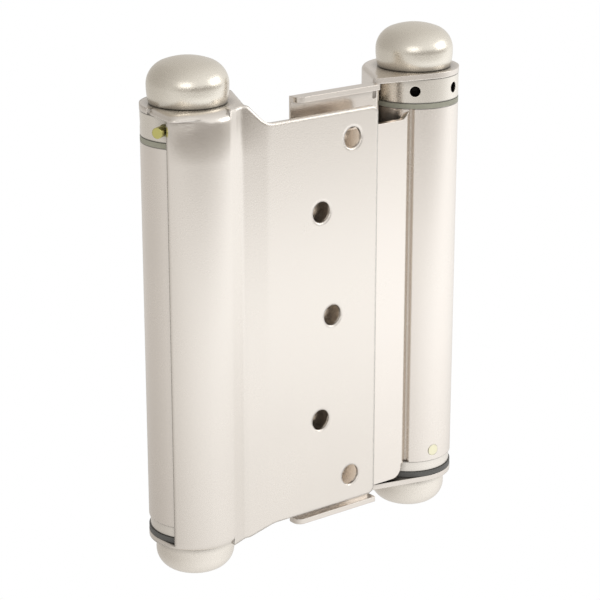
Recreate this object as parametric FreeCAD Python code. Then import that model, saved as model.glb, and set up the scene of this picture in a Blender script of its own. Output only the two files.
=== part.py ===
import FreeCAD, Part
import os
from math import acos, asin, atan2, cos, degrees, pi, radians, sin, sqrt, tan

# Double action spring hinge, in millimetres.
# The origin is on the jamb face of the rear leaf, midway between the barrels and at mid-height.
# X runs from the left barrel to the right one, -Y points at the door, Z is up.

# Driving sizes of the sheet metal and the barrels
sheet = 1.6
barrel_radius = 13.2
barrel_length = 110.2
axis_spacing = 80.3
seam_turn = -38.4
web_setback = 3.4
web_jamb_gap = 0.7
web_door_gap = 2.5

# Driving sizes of the stack on each barrel
upper_washer_height = 1.4
collar_height = 7.1
plug_rim_height = 3.4
lower_washer_height = 1.5
cap_height = 12.6
low_cap_height = 11.2
cap_radius = 11.3
cap_rim_radius = 10.7
spindle_radius = 3.5
tension_pin_radius = 1.5
plug_pin_radius = 1.7
plug_pin_turn = -3.9
spring_wire = 3.0

# Driving sizes of the two leaves
door_plate_over = 4.1
door_plate_right = 15.3
hood_start = -57.0
hood_crease = 13.0
crease_fold = 8.0
valley_length = 5.6
valley_flank = 7.8
jamb_plate_left = -10.9
lip_drop = 1.1
lip_depth = 5.0
notch_width = 1.4
wall_lean = 26.6
screw_radius = 3.1
outer_hole_inset = 8.0
inner_hole_inset = 27.95
outer_hole_x = 6.15
inner_hole_x = -4.95
middle_hole_x = -0.8
collar_hole_turn = -38.4
hole_step = 60.0
collar_holes = 6

# Clearances
turning_gap = 0.1
running_gap = 0.05
hood_gap = 0.5
hole_gap = 0.06
pin_gap = 0.1
anchor_gap = 0.25

# Heights along each barrel
barrel_top = barrel_length / 2
barrel_bottom = -barrel_top
collar_bottom = barrel_top + upper_washer_height + turning_gap
collar_top = collar_bottom + collar_height
ear_top = collar_top + sheet
plug_bottom = barrel_bottom - plug_rim_height
lower_washer_bottom = plug_bottom - lower_washer_height
low_ear_top = lower_washer_bottom - turning_gap
low_ear_bottom = low_ear_top - sheet
hole_height = collar_bottom + collar_height / 2

# Radii and planes of the folded sheets
half_spacing = axis_spacing / 2
bore_radius = barrel_radius - sheet
axis_setback = barrel_radius - web_setback - 2 * sheet - web_jamb_gap
hood_in = barrel_radius + hood_gap
hood_out = hood_in + sheet
web_back = -sheet - web_jamb_gap
web_front = web_back - sheet
door_back = web_front - web_door_gap
door_front = door_back - sheet
bend = 1.5 * sheet
fold_round = 0.8 * sheet
ear_fold = 1.75 * sheet
fold_tall = 2 * sheet
hole_ease = 0.4 * sheet
fine = 0.001

# Screw holes in rows, set in from the ends of the door plate
plate_top = barrel_top + door_plate_over
screw_rows = [
    (outer_hole_x, plate_top - outer_hole_inset),
    (inner_hole_x, plate_top - inner_hole_inset),
    (middle_hole_x, 0),
]


def vec(x, y, z=0.0):
    return FreeCAD.Vector(x, y, z)


def polar(radius, turn):
    # A turn of zero points at the door (-Y), and a positive turn goes towards +X.
    return vec(radius * sin(radians(turn)), -radius * cos(radians(turn)))


def arc(radius, start, end):
    middle = polar(radius, (start + end) / 2)
    return Part.Arc(polar(radius, start), middle, polar(radius, end)).toShape()


def rounded(corners):
    # Edges of an open run of corners, each given as (point, radius).
    edges = []
    last = corners[0][0]
    for i in range(1, len(corners) - 1):
        point, radius = corners[i]
        into = (corners[i - 1][0] - point).normalize()
        out = (corners[i + 1][0] - point).normalize()
        if radius == 0:
            start, end = point, point
        else:
            half = into.getAngle(out) / 2
            start = point + into * (radius / tan(half))
            end = point + out * (radius / tan(half))
        edges.append(Part.makeLine(last, start))
        if radius > 0:
            centre = point + (into + out).normalize() * (radius / sin(half))
            middle = centre + (point - centre).normalize() * radius
            edges.append(Part.Arc(start, middle, end).toShape())
        last = end
    edges.append(Part.makeLine(last, corners[-1][0]))
    return edges


def outline(corners):
    # A closed outline starts and ends in the middle of its last side.
    first = (corners[0][0] + corners[-1][0]) * 0.5
    return rounded([(first, 0)] + corners + [(first, 0)])


def face(edges):
    return Part.Face(Part.Wire(Part.__sortEdges__(edges)))


def slab(edges, low, high):
    flat = face(edges)
    flat.translate(vec(0, 0, low))
    return flat.extrude(vec(0, 0, high - low))


def front_shape(corners, near, far):
    # An outline drawn as seen from the door, in X and Z, and given a depth in Y.
    flat = face(outline(corners))
    flat.rotate(vec(0, 0), vec(1, 0), 90)
    flat.translate(vec(0, near))
    return flat.extrude(vec(0, far - near))


def rod(radius, low, high):
    return Part.makeCylinder(radius, high - low, vec(0, 0, low))


def radial_rod(radius, start, end, turn, height):
    aim = polar(1, turn)
    return Part.makeCylinder(radius, end - start, aim * start + vec(0, 0, height), aim)


def solid(shape):
    return shape.removeSplitter().Solids[0]


def on_axis(shape, side):
    shape.translate(vec(side * half_spacing, axis_setback))
    return shape


def screw_holes(plate, rows, near, far):
    # Plain holes on the side that meets the wood, eased on the side where the screw heads sit.
    for x, z in rows:
        for height in {z, -z}:
            low = min(near, far) - sheet
            plate = plate.cut(Part.makeCylinder(screw_radius, 3 * sheet, vec(x, low, height), vec(0, 1)))
            deep = vec(0, far - near).normalize()
            wide = screw_radius + hole_ease
            seat = Part.makeCone(wide, screw_radius, hole_ease, vec(x, far, height), deep * -1)
            plate = plate.cut(seat)
    return plate


def soften(shape, keep, radius):
    edges = [edge for edge in shape.Edges if keep(edge)]
    return shape.makeFillet(radius, edges)


# The front leaf: its hood wraps the front of the left barrel, and a shallow valley leads to the plate.
# All of it is drawn about the left barrel's axis and moved there at the end.
heading = radians(hood_crease + crease_fold)
crease = polar(hood_out, hood_crease)
valley = crease + vec(cos(heading), sin(heading)) * valley_length
plate_front = door_front - axis_setback
flank_end = vec(valley.x + valley_flank, plate_front)
plate_end = door_plate_right + half_spacing
inner_run = hood_out * cos(radians(crease_fold)) - sheet
inner_turn = degrees(heading - acos(inner_run / hood_in))
inner_crease = polar(hood_in, inner_turn)
flank_angle = atan2(flank_end.y - valley.y, flank_end.x - valley.x)
valley_half = (heading - flank_angle) / 2
valley_way = (heading + flank_angle) / 2
inner_valley = valley + vec(-sin(valley_way), cos(valley_way)) * (sheet / cos(valley_half))
flank_way = flank_angle / 2
inner_flank = flank_end + vec(-sin(flank_way), cos(flank_way)) * (sheet / cos(flank_way))

outer_run = [(crease, 0), (valley, bend), (flank_end, 2 * bend), (vec(plate_end, plate_front), 0)]
inner_run_back = [
    (vec(plate_end, plate_front + sheet), 0),
    (inner_flank, bend),
    (inner_valley, sheet / 2),
    (inner_crease, 0),
]
front_plan = [arc(hood_out, hood_start, hood_crease)]
front_plan += rounded(outer_run)
front_plan += [Part.makeLine(vec(plate_end, plate_front), vec(plate_end, plate_front + sheet))]
front_plan += rounded(inner_run_back)
front_plan += [arc(hood_in, inner_turn, hood_start)]
front_plan += [Part.makeLine(polar(hood_in, hood_start), polar(hood_out, hood_start))]
front_sheet = slab(front_plan, low_ear_bottom, ear_top)

# Seen from the door, the hood stops where the ears fold, and the valley slopes from the ears to the plate.
ear_side = valley.x + sheet
slope_top = ear_side + (ear_top - plate_top)
slope_low = ear_side - 3 * (plate_top + low_ear_bottom)
front_view = [
    (vec(-2 * hood_out, low_ear_bottom + fold_tall), 0),
    (vec(crease.x, low_ear_bottom + fold_tall), 0),
    (vec(crease.x, low_ear_bottom), 0),
    (vec(ear_side, low_ear_bottom), sheet),
    (vec(slope_low, -plate_top), 6 * sheet),
    (vec(plate_end, -plate_top), 1.3 * sheet),
    (vec(plate_end, plate_top), 1.3 * sheet),
    (vec(slope_top, plate_top), 4 * sheet),
    (vec(ear_side, ear_top), sheet),
    (vec(crease.x, ear_top), 0),
    (vec(crease.x, ear_top - fold_tall), 0),
    (vec(-2 * hood_out, ear_top - fold_tall), 0),
]
front_sheet = front_sheet.common(front_shape(front_view, -2 * hood_out, hood_out))

# The ears of the front leaf have a rounded end at the back and a lobe towards the web.
# The top ear has a corner ahead of the hood's edge, and the low ear ends at that edge.
ear_radius = barrel_radius + running_gap
ear_lobe = vec(1.4 * barrel_radius, 0.47 * barrel_radius)
ear_corner = vec(-1.1 * barrel_radius, -1.0 * barrel_radius)
lobe_turn = 180 - degrees(atan2(ear_lobe.x, ear_lobe.y)) + degrees(acos(ear_radius / ear_lobe.Length))
corner_turn = -degrees(atan2(-ear_corner.x, -ear_corner.y))
tip_turn = corner_turn + degrees(acos(hood_out / ear_corner.Length))
hood_tip = polar(hood_out, tip_turn)
hood_edge = polar(hood_out, hood_start)
lobe_run = sheet / 2
ear_right = valley + vec(lobe_run, lobe_run * tan(flank_angle))
top_front = rounded([(vec(-ear_radius, 0), 0), (ear_corner, bend), (hood_tip, 0)])
top_front += [arc(hood_out, tip_turn, hood_crease)]
low_front = [Part.makeLine(vec(-ear_radius, 0), hood_edge)]
low_front += [arc(hood_out, hood_start, hood_crease)]
fold_back = rounded([(crease, 0), (vec(crease.x, 0), 0), (vec(-ear_radius, 0), 0)])
lobe_ear = rounded([(crease, 0), (valley, bend), (ear_right, 0)])
lobe_ear += rounded([(ear_right, 0), (ear_lobe, bend), (polar(ear_radius, lobe_turn), 0)])
lobe_ear += [arc(ear_radius, lobe_turn, 270)]
lobe_ear += rounded([(vec(-ear_radius, 0), 0), (vec(crease.x, 0), 0), (crease, 0)])


def on_front_fold(edge):
    ends = [vertex.Point for vertex in edge.Vertexes]
    outer = all(min(abs(end.z - ear_top), abs(end.z - low_ear_bottom)) < fine for end in ends)
    return outer and all(end.y < hood_edge.y + fine for end in ends)


front_leaf = front_sheet
inner_meet = inner_crease + vec(1, tan(heading)) * (crease.x - inner_crease.x)
hood_plan = [arc(hood_out, hood_start, hood_crease), arc(hood_in, hood_start, inner_turn)]
hood_plan += [Part.makeLine(polar(hood_in, hood_start), hood_edge)]
hood_plan += [Part.makeLine(inner_crease, inner_meet), Part.makeLine(inner_meet, crease)]
hood_rims = {low_ear_bottom: low_ear_bottom, collar_top: ear_top - fold_tall}
for low, front in ((low_ear_bottom, low_front), (collar_top, top_front)):
    rim = hood_rims[low]
    block = soften(slab(front + fold_back, rim, rim + fold_tall), on_front_fold, ear_fold)
    ear = block.common(slab(front + fold_back, low, low + sheet))
    hood_rim = block.common(slab(hood_plan, rim, rim + fold_tall))
    front_leaf = front_leaf.fuse([ear, hood_rim, slab(lobe_ear, low, low + sheet)])
front_leaf = front_leaf.cut(rod(spindle_radius + running_gap, low_ear_bottom, ear_top))
front_leaf = on_axis(front_leaf.Solids[0], -1)
front_leaf = screw_holes(front_leaf, screw_rows, door_front, door_back).Solids[0]

# The rear leaf: a plate behind the web, a leaning wall beside the right barrel, a hood round its back.
# It is drawn about the right barrel's axis.
lean = radians(wall_lean)
jamb_front = -sheet - axis_setback
jamb_back = -axis_setback


def wall_at(distance, y):
    return vec((y * sin(lean) - distance) / cos(lean), y)


pin_turn_right = collar_hole_turn + 3 * hole_step
pin_span = degrees(asin((tension_pin_radius + pin_gap) / hood_in))
hood_end = pin_turn_right + pin_span
wall_turn = 270 - wall_lean
plate_start = jamb_plate_left - half_spacing
near_corner = wall_at(hood_in, jamb_front)
far_corner = wall_at(hood_out, jamb_back)
wall_top = polar(hood_in, wall_turn)
rear_plan = rounded([(vec(plate_start, jamb_front), 0), (near_corner, bend), (wall_top, 0)])
rear_plan += [arc(hood_in, wall_turn, hood_end)]
rear_plan += [Part.makeLine(polar(hood_in, hood_end), polar(hood_out, hood_end))]
rear_plan += [arc(hood_out, hood_end, wall_turn)]
rear_plan += rounded([
    (polar(hood_out, wall_turn), 0), (far_corner, bend - sheet), (vec(plate_start, jamb_back), 0)
])
rear_plan += [Part.makeLine(vec(plate_start, jamb_back), vec(plate_start, jamb_front))]
lip_top = ear_top - lip_drop
rear_sheet = slab(rear_plan, -lip_top, ear_top)

# Seen from the door: full height at the lips, a relief notch, then the wall up to each ear.
notch_end = far_corner.x - sheet / 5
lip_end = notch_end - notch_width
notch_round = 0.4 * notch_width
notch_top = lip_top - 3 * sheet
rear_view = [
    (vec(plate_start, -lip_top), 0),
    (vec(lip_end, -lip_top), 0),
    (vec(lip_end, -notch_top), notch_round),
    (vec(notch_end, -notch_top), notch_round),
    (vec(notch_end, low_ear_bottom), 0),
    (vec(2 * hood_out, low_ear_bottom), 0),
    (vec(2 * hood_out, ear_top), 0),
    (vec(notch_end, ear_top), 0),
    (vec(notch_end, notch_top), notch_round),
    (vec(lip_end, notch_top), notch_round),
    (vec(lip_end, lip_top), 0),
    (vec(plate_start, lip_top), 0),
]
rear_sheet = rear_sheet.common(front_shape(rear_view, -2 * hood_out, 2 * hood_out))

# The lips fold forward over the top and bottom of the door plate, with a rounded fold.
lip_front = jamb_back - lip_depth
for side in (-1, 1):
    rim = side * lip_top
    under = side * (lip_top - sheet)
    lip_corner = vec(plate_start, lip_front, min(rim, under))
    lip = Part.makeBox(lip_end - plate_start, lip_depth, sheet, lip_corner)
    rear_sheet = rear_sheet.fuse(lip)

# The ears of the rear leaf reach from the leaning wall round the front of the barrel.
ear_start = wall_at(hood_out, jamb_front - sheet / 2)
front_reach = degrees(acos(ear_radius / ear_start.Length))
front_turn = -degrees(atan2(-ear_start.x, -ear_start.y)) + front_reach
rear_ear = [Part.makeLine(ear_start, polar(ear_radius, front_turn))]
rear_ear += [arc(ear_radius, front_turn, 90)]
rear_ear += [Part.makeLine(polar(ear_radius, 90), polar(hood_out, hood_end))]
rear_ear += [arc(hood_out, hood_end, wall_turn)]
rear_ear += [Part.makeLine(polar(hood_out, wall_turn), ear_start)]
rear_leaf = rear_sheet
for low in (low_ear_bottom, collar_top):
    rear_leaf = rear_leaf.fuse(slab(rear_ear, low, low + sheet))


def on_rear_fold(edge):
    ends = [vertex.Point for vertex in edge.Vertexes]
    at_ear = all(min(abs(end.z - ear_top), abs(end.z - low_ear_bottom)) < fine for end in ends)
    on_hood = all(abs(vec(end.x, end.y).Length - hood_out) < fine for end in ends)
    on_wall = all(abs(end.x * cos(lean) - end.y * sin(lean) + hood_out) < fine for end in ends)
    level = abs(ends[0].z - ends[-1].z) < fine
    return at_ear and level and (on_hood or on_wall) and all(end.y > jamb_back for end in ends)


def on_lip_fold(edge):
    ends = [vertex.Point for vertex in edge.Vertexes]
    return all(abs(abs(end.z) - lip_top) < fine and abs(end.y - jamb_back) < fine for end in ends)


def on_lip_corner(edge):
    ends = [vertex.Point for vertex in edge.Vertexes]
    return all(abs(end.x - plate_start) < fine and abs(end.y - lip_front) < fine for end in ends)


rear_leaf = soften(solid(rear_leaf), on_rear_fold, fold_round)
rear_leaf = soften(rear_leaf, on_lip_fold, fold_round)
rear_leaf = soften(rear_leaf, on_lip_corner, bend)
rear_leaf = rear_leaf.cut(rod(spindle_radius + running_gap, low_ear_bottom, ear_top))
rear_leaf = on_axis(solid(rear_leaf), 1)
jamb_rows = [(-x + 2 * sheet, z) for x, z in screw_rows]
rear_leaf = solid(screw_holes(rear_leaf, jamb_rows, 0, -sheet))

# The centre section: a web with a barrel rolled on each side, and a seam where each roll meets the web.
web_y = web_front - axis_setback
web_top = barrel_top - 2 * sheet + sheet / 4
web_bottom = low_ear_top + sheet / 2
web_edge = half_spacing - sqrt(barrel_radius**2 - web_y**2)
foot_edge = half_spacing - sqrt(barrel_radius**2 - (web_y + sheet) ** 2) - sheet / 3
web_view = [
    (vec(foot_edge, web_bottom), 2 * sheet),
    (vec(foot_edge, barrel_bottom), 0),
    (vec(web_edge + sheet, barrel_bottom), 0),
    (vec(web_edge + sheet, barrel_top), 0),
    (vec(web_edge, barrel_top), 0),
    (vec(web_edge - 2 * sheet, web_top), sheet),
    (vec(-web_edge + 2 * sheet, web_top), sheet),
    (vec(-web_edge, barrel_top), 0),
    (vec(-web_edge - sheet, barrel_top), 0),
    (vec(-web_edge - sheet, barrel_bottom), 0),
    (vec(-foot_edge, barrel_bottom), 0),
    (vec(-foot_edge, web_bottom), 2 * sheet),
]
centre_section = front_shape(web_view, web_front, web_back)
free_edge = polar(barrel_radius, seam_turn)
roll = 1.4 * sheet
groove_depth = 0.7 * sheet
roll_end = free_edge.x - 0.3 * sheet
roll_start = roll_end - sqrt(roll**2 - (roll - groove_depth) ** 2)
roll_middle = vec((roll_start + roll_end) / 2, web_y + groove_depth / 3)
groove = [
    Part.Arc(vec(roll_start, web_y), roll_middle, vec(roll_end, web_y + groove_depth)).toShape(),
    Part.makeLine(vec(roll_end, web_y + groove_depth), vec(free_edge.x, web_y + groove_depth)),
    Part.makeLine(vec(free_edge.x, web_y + groove_depth), vec(free_edge.x, -barrel_radius)),
    Part.makeLine(vec(free_edge.x, -barrel_radius), vec(roll_start, -barrel_radius)),
    Part.makeLine(vec(roll_start, -barrel_radius), vec(roll_start, web_y)),
]
plug_pin_height = barrel_bottom + 2 * sheet
plug_pin_turns = {1: plug_pin_turn, -1: 180 - plug_pin_turn}
pin_hole_radius = plug_pin_radius + running_gap
for side in (-1, 1):
    barrel = rod(barrel_radius, barrel_bottom, barrel_top)
    centre_section = centre_section.fuse(on_axis(barrel, side))
for side in (-1, 1):
    bore = rod(bore_radius, barrel_bottom, barrel_top)
    pin_turn = plug_pin_turns[side]
    pin_hole = radial_rod(pin_hole_radius, bore_radius / 2, 2 * barrel_radius, pin_turn, plug_pin_height)
    seam = slab(groove, barrel_bottom - sheet, barrel_top + sheet)
    if side < 0:
        seam = seam.mirror(vec(0, 0), vec(1, 0))
    for cutter in (bore, pin_hole, seam):
        centre_section = centre_section.cut(on_axis(cutter, side))
centre_section = solid(centre_section)

# The parts stacked on each barrel.
plug_height = 9 * sheet
plug_top = barrel_bottom + plug_height
hub_length = 5 * sheet
hub_bottom = collar_bottom - hub_length
hub_radius = bore_radius - 0.5 * sheet
wire_radius = spring_wire / 2
coil_radius = bore_radius - wire_radius - sheet
coil_low = plug_top + wire_radius + anchor_gap
coil_high = hub_bottom - wire_radius - anchor_gap
coil_pitch = 1.8 * spring_wire
anchor = 2 * spring_wire
collar_radius = barrel_radius - running_gap
washer_hole = spindle_radius + sheet / 2
cap_bore_depth = low_cap_height / 2
pin_inner = spindle_radius + sheet
pin_outer = hood_out + sheet
pin_turns = {1: pin_turn_right, -1: hood_start - pin_span}
coil_turns = (coil_high - coil_low) / coil_pitch
coil_end_turn = 90 + degrees(2 * pi * coil_turns)
anchor_points = {1: polar(coil_radius, coil_end_turn), -1: polar(coil_radius, 90)}


def cap_profile(height):
    # A slightly bulged side, a large rounded shoulder and a low dome.
    widest = 0.36 * height
    shoulder = vec(0.66 * cap_radius, 0, 0.88 * height)
    swell = vec((cap_radius * 3 + cap_rim_radius) / 4, 0, widest / 2)
    lower = Part.Arc(vec(cap_rim_radius, 0, 0), swell, vec(cap_radius, 0, widest))
    upper = Part.Arc(vec(cap_radius, 0, widest), vec(0.91 * cap_radius, 0, 0.68 * height), shoulder)
    rise = height - shoulder.z
    dome_radius = (shoulder.x**2 + rise**2) / (2 * rise)
    half = asin(shoulder.x / dome_radius) / 2
    middle = vec(dome_radius * sin(half), 0, height - dome_radius * (1 - cos(half)))
    dome = Part.Arc(shoulder, middle, vec(0, 0, height))
    edges = [lower.toShape(), upper.toShape(), dome.toShape()]
    edges += [Part.makeLine(vec(0, 0, height), vec(0, 0, 0))]
    edges += [Part.makeLine(vec(0, 0, 0), vec(cap_rim_radius, 0, 0))]
    return face(edges)


def make_cap(height):
    cap = cap_profile(height).revolve(vec(0, 0), vec(0, 0, 1), 360)
    return cap.cut(rod(spindle_radius + running_gap, 0, cap_bore_depth))


def make_spring():
    path = Part.makeHelix(coil_pitch, coil_high - coil_low, coil_radius)
    wire = Part.Wire([Part.makeCircle(wire_radius, vec(coil_radius, 0), vec(0, 1))])
    coil = Part.Wire(path).makePipeShell([wire], True, True)
    coil.translate(vec(0, 0, coil_low))
    low_point = anchor_points[-1] + vec(0, 0, coil_low)
    high_point = anchor_points[1] + vec(0, 0, coil_high)
    leg = wire_radius * 0.96
    knee = wire_radius * 1.03
    coil = coil.fuse(Part.makeSphere(knee, low_point))
    coil = coil.fuse(Part.makeCylinder(leg, anchor, low_point, vec(0, 0, -1)))
    coil = coil.fuse(Part.makeSphere(knee, high_point))
    coil = coil.fuse(Part.makeCylinder(leg, anchor, high_point, vec(0, 0, 1)))
    return coil


parts = {"front_leaf": front_leaf, "rear_leaf": rear_leaf, "centre_section": centre_section}
for name, side in (("left", -1), ("right", 1)):
    top_cap = make_cap(cap_height)
    top_cap.translate(vec(0, 0, ear_top))

    bottom_cap = make_cap(low_cap_height)
    bottom_cap.rotate(vec(0, 0), vec(1, 0), 180)
    bottom_cap.translate(vec(0, 0, low_ear_bottom))

    spindle_low = low_ear_bottom - cap_bore_depth + running_gap
    spindle = rod(spindle_radius, spindle_low, ear_top + cap_bore_depth - running_gap)

    upper_washer = rod(barrel_radius, barrel_top, barrel_top + upper_washer_height)
    upper_washer = upper_washer.cut(rod(hub_radius + sheet / 4, barrel_top, collar_bottom))

    lower_washer = rod(barrel_radius, lower_washer_bottom, plug_bottom)
    lower_washer = lower_washer.cut(rod(washer_hole, lower_washer_bottom, plug_bottom))

    # The collar turns with its leaf and winds the spring; a bar in one of its holes sets the tension.
    collar = rod(collar_radius, collar_bottom, collar_top)
    collar = collar.fuse(rod(hub_radius, hub_bottom, collar_bottom))
    collar = collar.cut(rod(spindle_radius + running_gap, hub_bottom, collar_top))
    first_turn = pin_turns[side]
    for i in range(collar_holes):
        turn = first_turn + i * hole_step
        hole = radial_rod(tension_pin_radius + hole_gap, pin_inner, 2 * barrel_radius, turn, hole_height)
        collar = collar.cut(hole)
    high_anchor = anchor_points[1] + vec(0, 0, coil_high)
    collar = collar.cut(Part.makeCylinder(wire_radius + hole_gap, anchor + sheet, high_anchor))

    # The plug closes the barrel's foot, holds the spring's lower end and is pinned through the barrel.
    plug = rod(bore_radius - running_gap, barrel_bottom, plug_top)
    plug = plug.fuse(rod(barrel_radius - sheet / 4, plug_bottom, barrel_bottom))
    plug = plug.cut(rod(spindle_radius + running_gap, plug_bottom, plug_top))
    low_anchor = anchor_points[-1] + vec(0, 0, coil_low)
    plug = plug.cut(Part.makeCylinder(wire_radius + hole_gap, anchor + sheet, low_anchor, vec(0, 0, -1)))
    pin_turn = plug_pin_turns[side]
    pin_root = spindle_radius + sheet
    pin_hole = radial_rod(pin_hole_radius, pin_root, 2 * barrel_radius, pin_turn, plug_pin_height)
    plug = plug.cut(pin_hole)
    plug_pin = radial_rod(plug_pin_radius, pin_root + running_gap, barrel_radius, pin_turn, plug_pin_height)

    tension_pin = radial_rod(tension_pin_radius, pin_inner + hole_gap, pin_outer, first_turn, hole_height)

    parts[name + "_top_cap"] = on_axis(solid(top_cap), side)
    parts[name + "_bottom_cap"] = on_axis(solid(bottom_cap), side)
    parts[name + "_spindle"] = on_axis(spindle, side)
    parts[name + "_upper_washer"] = on_axis(solid(upper_washer), side)
    parts[name + "_lower_washer"] = on_axis(solid(lower_washer), side)
    parts[name + "_collar"] = on_axis(solid(collar), side)
    parts[name + "_plug"] = on_axis(solid(plug), side)
    parts[name + "_plug_pin"] = on_axis(plug_pin, side)
    parts[name + "_tension_pin"] = on_axis(tension_pin, side)
    parts[name + "_spring"] = on_axis(solid(make_spring()), side)

os.makedirs("parts", exist_ok=True)
for name, shape in parts.items():
    shape.exportStep("parts/" + name + ".step")
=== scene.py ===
import math

import bpy
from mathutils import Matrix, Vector


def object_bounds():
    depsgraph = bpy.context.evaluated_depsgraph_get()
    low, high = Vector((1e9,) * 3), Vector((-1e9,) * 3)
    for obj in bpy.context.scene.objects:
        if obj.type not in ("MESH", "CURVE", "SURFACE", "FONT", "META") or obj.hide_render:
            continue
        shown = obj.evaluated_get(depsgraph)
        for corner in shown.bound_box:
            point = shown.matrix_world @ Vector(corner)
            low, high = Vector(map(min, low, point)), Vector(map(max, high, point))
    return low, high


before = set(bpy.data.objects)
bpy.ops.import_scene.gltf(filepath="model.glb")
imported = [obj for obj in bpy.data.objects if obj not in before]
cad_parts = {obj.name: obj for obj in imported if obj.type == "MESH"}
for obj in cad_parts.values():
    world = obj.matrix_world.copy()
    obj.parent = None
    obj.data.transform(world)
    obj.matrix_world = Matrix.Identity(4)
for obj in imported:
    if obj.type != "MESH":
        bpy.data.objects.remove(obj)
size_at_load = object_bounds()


class Socket:
    """One shader output: operators add Math nodes, and node() adds any other node."""

    def __init__(self, tree, output=None):
        self.tree = tree
        self.output = output

    @classmethod
    def fresh(cls, owner):
        owner.use_nodes = True
        owner.node_tree.nodes.clear()
        return cls(owner.node_tree)

    def node(self, kind, out=0, props=(), **inputs):
        made = self.tree.nodes.new("ShaderNode" + kind)
        for key, value in dict(props).items():
            setattr(made, key, value)
        for key, value in inputs.items():
            key = key.replace("_", " ")
            entry = made.inputs[int(key[1:]) if key[1:].isdigit() else key]
            if isinstance(value, Socket):
                self.tree.links.new(value.output, entry)
            else:
                entry.default_value = value
        return Socket(self.tree, made.outputs[out] if made.outputs else None)

    def math(self, operation, other=0.0):
        return self.node("Math", props={"operation": operation}, i0=self, i1=other)

    def __add__(self, other):
        return self.math("ADD", other)

    def __sub__(self, other):
        return self.math("SUBTRACT", other)

    def __mul__(self, other):
        return self.math("MULTIPLY", other)

    def __pow__(self, other):
        return self.math("POWER", other)


# The metal of every piece but the washers: satin, with a very fine grain and painted shade in its corners.
# Joints are heights with a fine dark line, skin is the radius inside which a collar's holes get painted
# shade, and crown bends the front hood back softly below its top ear.
def nickel(name, colour, rough, grain, shade=0.62, edge=0.0003, crown=0.0, joints=(), skin=0.0):
    material = bpy.data.materials.new(name)
    start = Socket.fresh(material)
    place = start.node("TexCoord", out="Object")
    fine = start.node("TexNoise", Vector=place, Scale=2600.0, Detail=2.0)
    broad = start.node("TexNoise", Vector=place, Scale=70.0, Detail=3.0)
    # Ambient occlusion paints shade into the corners and creases; shade sets how dark that painted shade
    # gets.
    painted_shade_ao = start.node("AmbientOcclusion", out="AO", props={"samples": 6}, Distance=0.0025)
    tone = ((fine - 0.5) * grain + (broad - 0.5) * 0.05 + 1.0) * (painted_shade_ao**1.4 * shade + (1.0 - shade))
    for level in joints:
        gap = (start.node("SeparateXYZ", out="Z", Vector=place) - level).math("ABSOLUTE")
        line = start.node("MapRange", Value=gap, From_Min=0.0001, From_Max=0.0004, To_Min=0.3, To_Max=1.0)
        tone = tone * line
    # Painted shade: inside the skin radius the collar's holes go almost black.
    if skin:
        axis_x, axis_y = 0.04015, 0.0059
        side = start.node("SeparateXYZ", out="X", Vector=place).math("ABSOLUTE") - axis_x
        ahead = start.node("SeparateXYZ", out="Y", Vector=place) - axis_y
        reach = (side * side + ahead * ahead) ** 0.5
        inside = skin - 0.0006
        dark = start.node("MapRange", Value=reach, From_Min=inside, From_Max=skin, To_Min=0.05, To_Max=1.0)
        tone = tone * dark
    multiply = {"data_type": "RGBA", "blend_type": "MULTIPLY"}
    tint = start.node("Mix", out=2, props=multiply, i0=1.0, i6=(*colour, 1.0), i7=tone)
    soft = start.node("Bevel", props={"samples": 8}, Radius=edge)
    if crown:
        bend_start = 0.051
        over = (start.node("SeparateXYZ", out="Z", Vector=place) - bend_start).math("MAXIMUM")
        across = start.node("SeparateXYZ", out="X", Vector=place)
        hood = start.node("MapRange", Value=across, From_Min=-0.034, From_Max=-0.022, To_Min=1.0, To_Max=0.0)
        bowed = over * over * hood * -crown
        soft = start.node("Bump", Height=bowed, Strength=1.0, Distance=1.0, Normal=soft)
    relief = start.node("Bump", Height=fine, Strength=grain, Distance=0.0001, Normal=soft)
    sheen = (fine - 0.5) * 0.1 + (broad - 0.5) * 0.08 + rough
    shader = start.node("BsdfPrincipled", Base_Color=tint, Metallic=1.0, Roughness=sheen, Normal=relief)
    start.node("OutputMaterial", Surface=shader)
    return material


def paint(material, *names):
    for name in names:
        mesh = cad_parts[name].data
        mesh.materials.clear()
        mesh.materials.append(material)


# The centre section: the palest metal, with a fine line where each barrel meets its upper washer.
barrel_top = 0.0551
barrel = nickel("barrel nickel", (0.93, 0.87, 0.805), 0.25, 0.12, shade=0.2, joints=(barrel_top,))
paint(barrel, "centre_section")

# The springs and spindles inside the barrels are plain dark steel.
steel = nickel("spring steel", (0.12, 0.12, 0.125), 0.36, 0.10)
paint(steel, "left_spring", "right_spring", "left_spindle", "right_spindle")

# The plug rims, turned from bar, with a fine line at the barrel above and the washer below.
plug_bottom = -0.0585
plug = nickel("plug nickel", (0.96, 0.91, 0.84), 0.28, 0.07, joints=(plug_bottom, -barrel_top))
paint(plug, "left_plug", "right_plug")

# The tension collars, turned from bar, with painted shade in their holes and a fine line at the washer and
# the ear.
collar_bottom, collar_top = 0.0566, 0.0637
ends = (collar_bottom, collar_top)
collar = nickel("collar nickel", (0.92, 0.87, 0.79), 0.28, 0.07, joints=ends, skin=0.0129)
paint(collar, "left_collar", "right_collar")


# The washers: the upper ones grey-green, the lower ones dark grey, both matt and slightly mottled.
def matt(name, colour, rough):
    material = bpy.data.materials.new(name)
    start = Socket.fresh(material)
    place = start.node("TexCoord", out="Object")
    speck = start.node("TexNoise", Vector=place, Scale=900.0, Detail=3.0)
    multiply = {"data_type": "RGBA", "blend_type": "MULTIPLY"}
    tint = start.node("Mix", out=2, props=multiply, i0=1.0, i6=(*colour, 1.0), i7=(speck - 0.5) * 0.3 + 1.0)
    shader = start.node("BsdfPrincipled", Base_Color=tint, Roughness=(speck - 0.5) * 0.2 + rough)
    start.node("OutputMaterial", Surface=shader)
    return material


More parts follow.
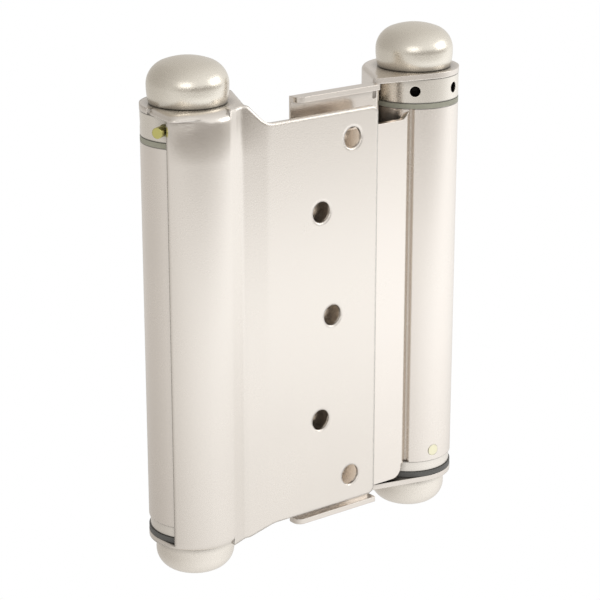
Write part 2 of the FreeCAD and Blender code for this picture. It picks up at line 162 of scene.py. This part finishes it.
paint(matt("green washer", (0.42, 0.42, 0.34), 0.55), "left_upper_washer", "right_upper_washer")
paint(matt("dark washer", (0.13, 0.13, 0.125), 0.5), "left_lower_washer", "right_lower_washer")

# The plug pins are pale brass, and the tension pins a duller, yellower one.
paint(nickel("pale brass", (0.96, 0.92, 0.68), 0.30, 0.08), "left_plug_pin", "right_plug_pin")
paint(nickel("dull brass", (0.70, 0.66, 0.24), 0.34, 0.08), "left_tension_pin", "right_tension_pin")

# The leaves are darker than the barrels, partly their own tone and partly painted shade, above all on the
# rear leaf's top ear and lip; the front one has softer folds.
paint(nickel("leaf nickel", (0.86, 0.80, 0.735), 0.25, 0.12), "rear_leaf")
paint(nickel("hood nickel", (0.875, 0.82, 0.755), 0.25, 0.12, edge=0.0014, crown=7.0), "front_leaf")

# The rounded caps are grainier than the leaves, with a fine dark line where each one meets its ear.
ear_top, low_ear_bottom = 0.0653, -0.0617
top_cap = nickel("top cap nickel", (0.88, 0.83, 0.735), 0.28, 0.22, joints=(ear_top,))
paint(top_cap, "left_top_cap", "right_top_cap")
# The bottom caps get a paler tone than the top ones as painted light from the bright floor below them.
painted_bright_low_cap = nickel("bottom cap nickel", (0.95, 0.895, 0.815), 0.28, 0.22, joints=(low_ear_bottom,))
paint(painted_bright_low_cap, "left_bottom_cap", "right_bottom_cap")


# A pale floor: plain white to the camera, and in the metal's reflections as bright as the room beside it,
# with a painted shadow dimming it close to the object.
def surround(start, way):
    brightest = (0.52, -0.74, -0.42)
    dot = {"operation": "DOT_PRODUCT"}
    return start.node("VectorMath", out="Value", props=dot, i0=way, i1=brightest) * 0.29 + 0.75


def warm(start, level):
    return start.node("CombineColor", Red=level, Green=level**1.06, Blue=level**1.13)


low = size_at_load[0][2]
bpy.ops.mesh.primitive_plane_add(size=6.0, location=(0.0, 0.0, low - 0.002))
floor = bpy.context.object
floor.name = "floor"
floor_material = bpy.data.materials.new("floor")
start = Socket.fresh(floor_material)
pale = start.node("BsdfDiffuse", Color=(0.88, 0.87, 0.86, 1.0))
incoming = start.node("NewGeometry", out="Incoming")
way = start.node("VectorMath", props={"operation": "SCALE"}, i0=incoming, Scale=-1.0)
place = start.node("NewGeometry", out="Position")
reach = start.node("VectorMath", out="Value", props={"operation": "LENGTH"}, i0=place)
ahead = start.node("SeparateXYZ", out="Y", Vector=place) * -1.0
eased = {"interpolation_type": "SMOOTHSTEP"}
fade = start.node("MapRange", props=eased, Value=ahead, From_Min=0.22, From_Max=0.70, To_Min=1.1, To_Max=0.50)
# Painted shadow: the floor's glow in reflections dims close to the object.
painted_floor_shadow = start.node("MapRange", props=eased, Value=reach, From_Min=0.04, From_Max=0.28, To_Min=0.80, To_Max=1.0)
glow = start.node("Emission", Color=warm(start, surround(start, way) * fade * painted_floor_shadow), Strength=1.0)
mirrored = start.node("MixShader", Fac=start.node("LightPath", out="Is Glossy Ray"), i1=pale, i2=glow)
white = start.node("Emission", Color=(1.0, 1.0, 1.0, 1.0), Strength=1.0)
shown = start.node("MixShader", Fac=start.node("LightPath", out="Is Camera Ray"), i1=mirrored, i2=white)
start.node("OutputMaterial", Surface=shown)
floor.data.materials.append(floor_material)

# The room: bright low down at the front right, darker above, behind and to the left,
# with a dusky band at eye level ahead. The camera sees it as plain white.
world = bpy.data.worlds.new("studio")
bpy.context.scene.world = world
start = Socket.fresh(world)
way = start.node("TexCoord", out="Generated")
level = start.node("SeparateXYZ", out="Z", Vector=way).math("ABSOLUTE")
ahead = start.node("SeparateXYZ", out="Y", Vector=way) * -1.0
band = start.node("MapRange", props=eased, Value=level, From_Min=0.04, From_Max=0.24, To_Min=0.28, To_Max=1.0)
dusk = start.node("MapRange", props=eased, Value=ahead, From_Min=0.2, From_Max=0.8, To_Min=1.0, To_Max=band)
room = start.node("Background", Color=warm(start, surround(start, way) * dusk))
plain = start.node("Background", Color=(1.0, 1.0, 1.0, 1.0))
seen = start.node("LightPath", out="Is Camera Ray")
start.node("OutputWorld", Surface=start.node("MixShader", Fac=seen, i1=room, i2=plain))

# Two large soft boxes give each cap its pair of broad highlights.
for name, place, power in (("left box", (-0.85, -0.95, 0.50), 1.3), ("right box", (0.95, -0.75, 0.45), 1.7)):
    light = bpy.data.lights.new(name, "AREA")
    light.shape = "RECTANGLE"
    light.size = 0.8
    light.size_y = 0.5
    light.energy = power
    lamp = bpy.data.objects.new(name, light)
    lamp.location = place
    lamp.rotation_euler = (-Vector(place)).to_track_quat("-Z", "Y").to_euler()
    bpy.context.collection.objects.link(lamp)

# The camera stands where the photograph was taken, left of the front and a little above.
turn = math.radians(37.456)
rise = math.radians(18.216)
distance = 0.6001
target = Vector((-0.001892, 0.0059, 0.001127))
back = Vector((-math.sin(turn) * math.cos(rise), -math.cos(turn) * math.cos(rise), math.sin(rise)))
lens = bpy.data.cameras.new("camera")
lens.sensor_width = 36.0
lens.lens = 123.68
lens.clip_start = 0.01
camera = bpy.data.objects.new("camera", lens)
camera.location = target + back * distance
camera.rotation_euler = back.to_track_quat("Z", "Y").to_euler()
bpy.context.collection.objects.link(camera)
bpy.context.scene.camera = camera
bpy.context.scene.view_settings.view_transform = "Standard"
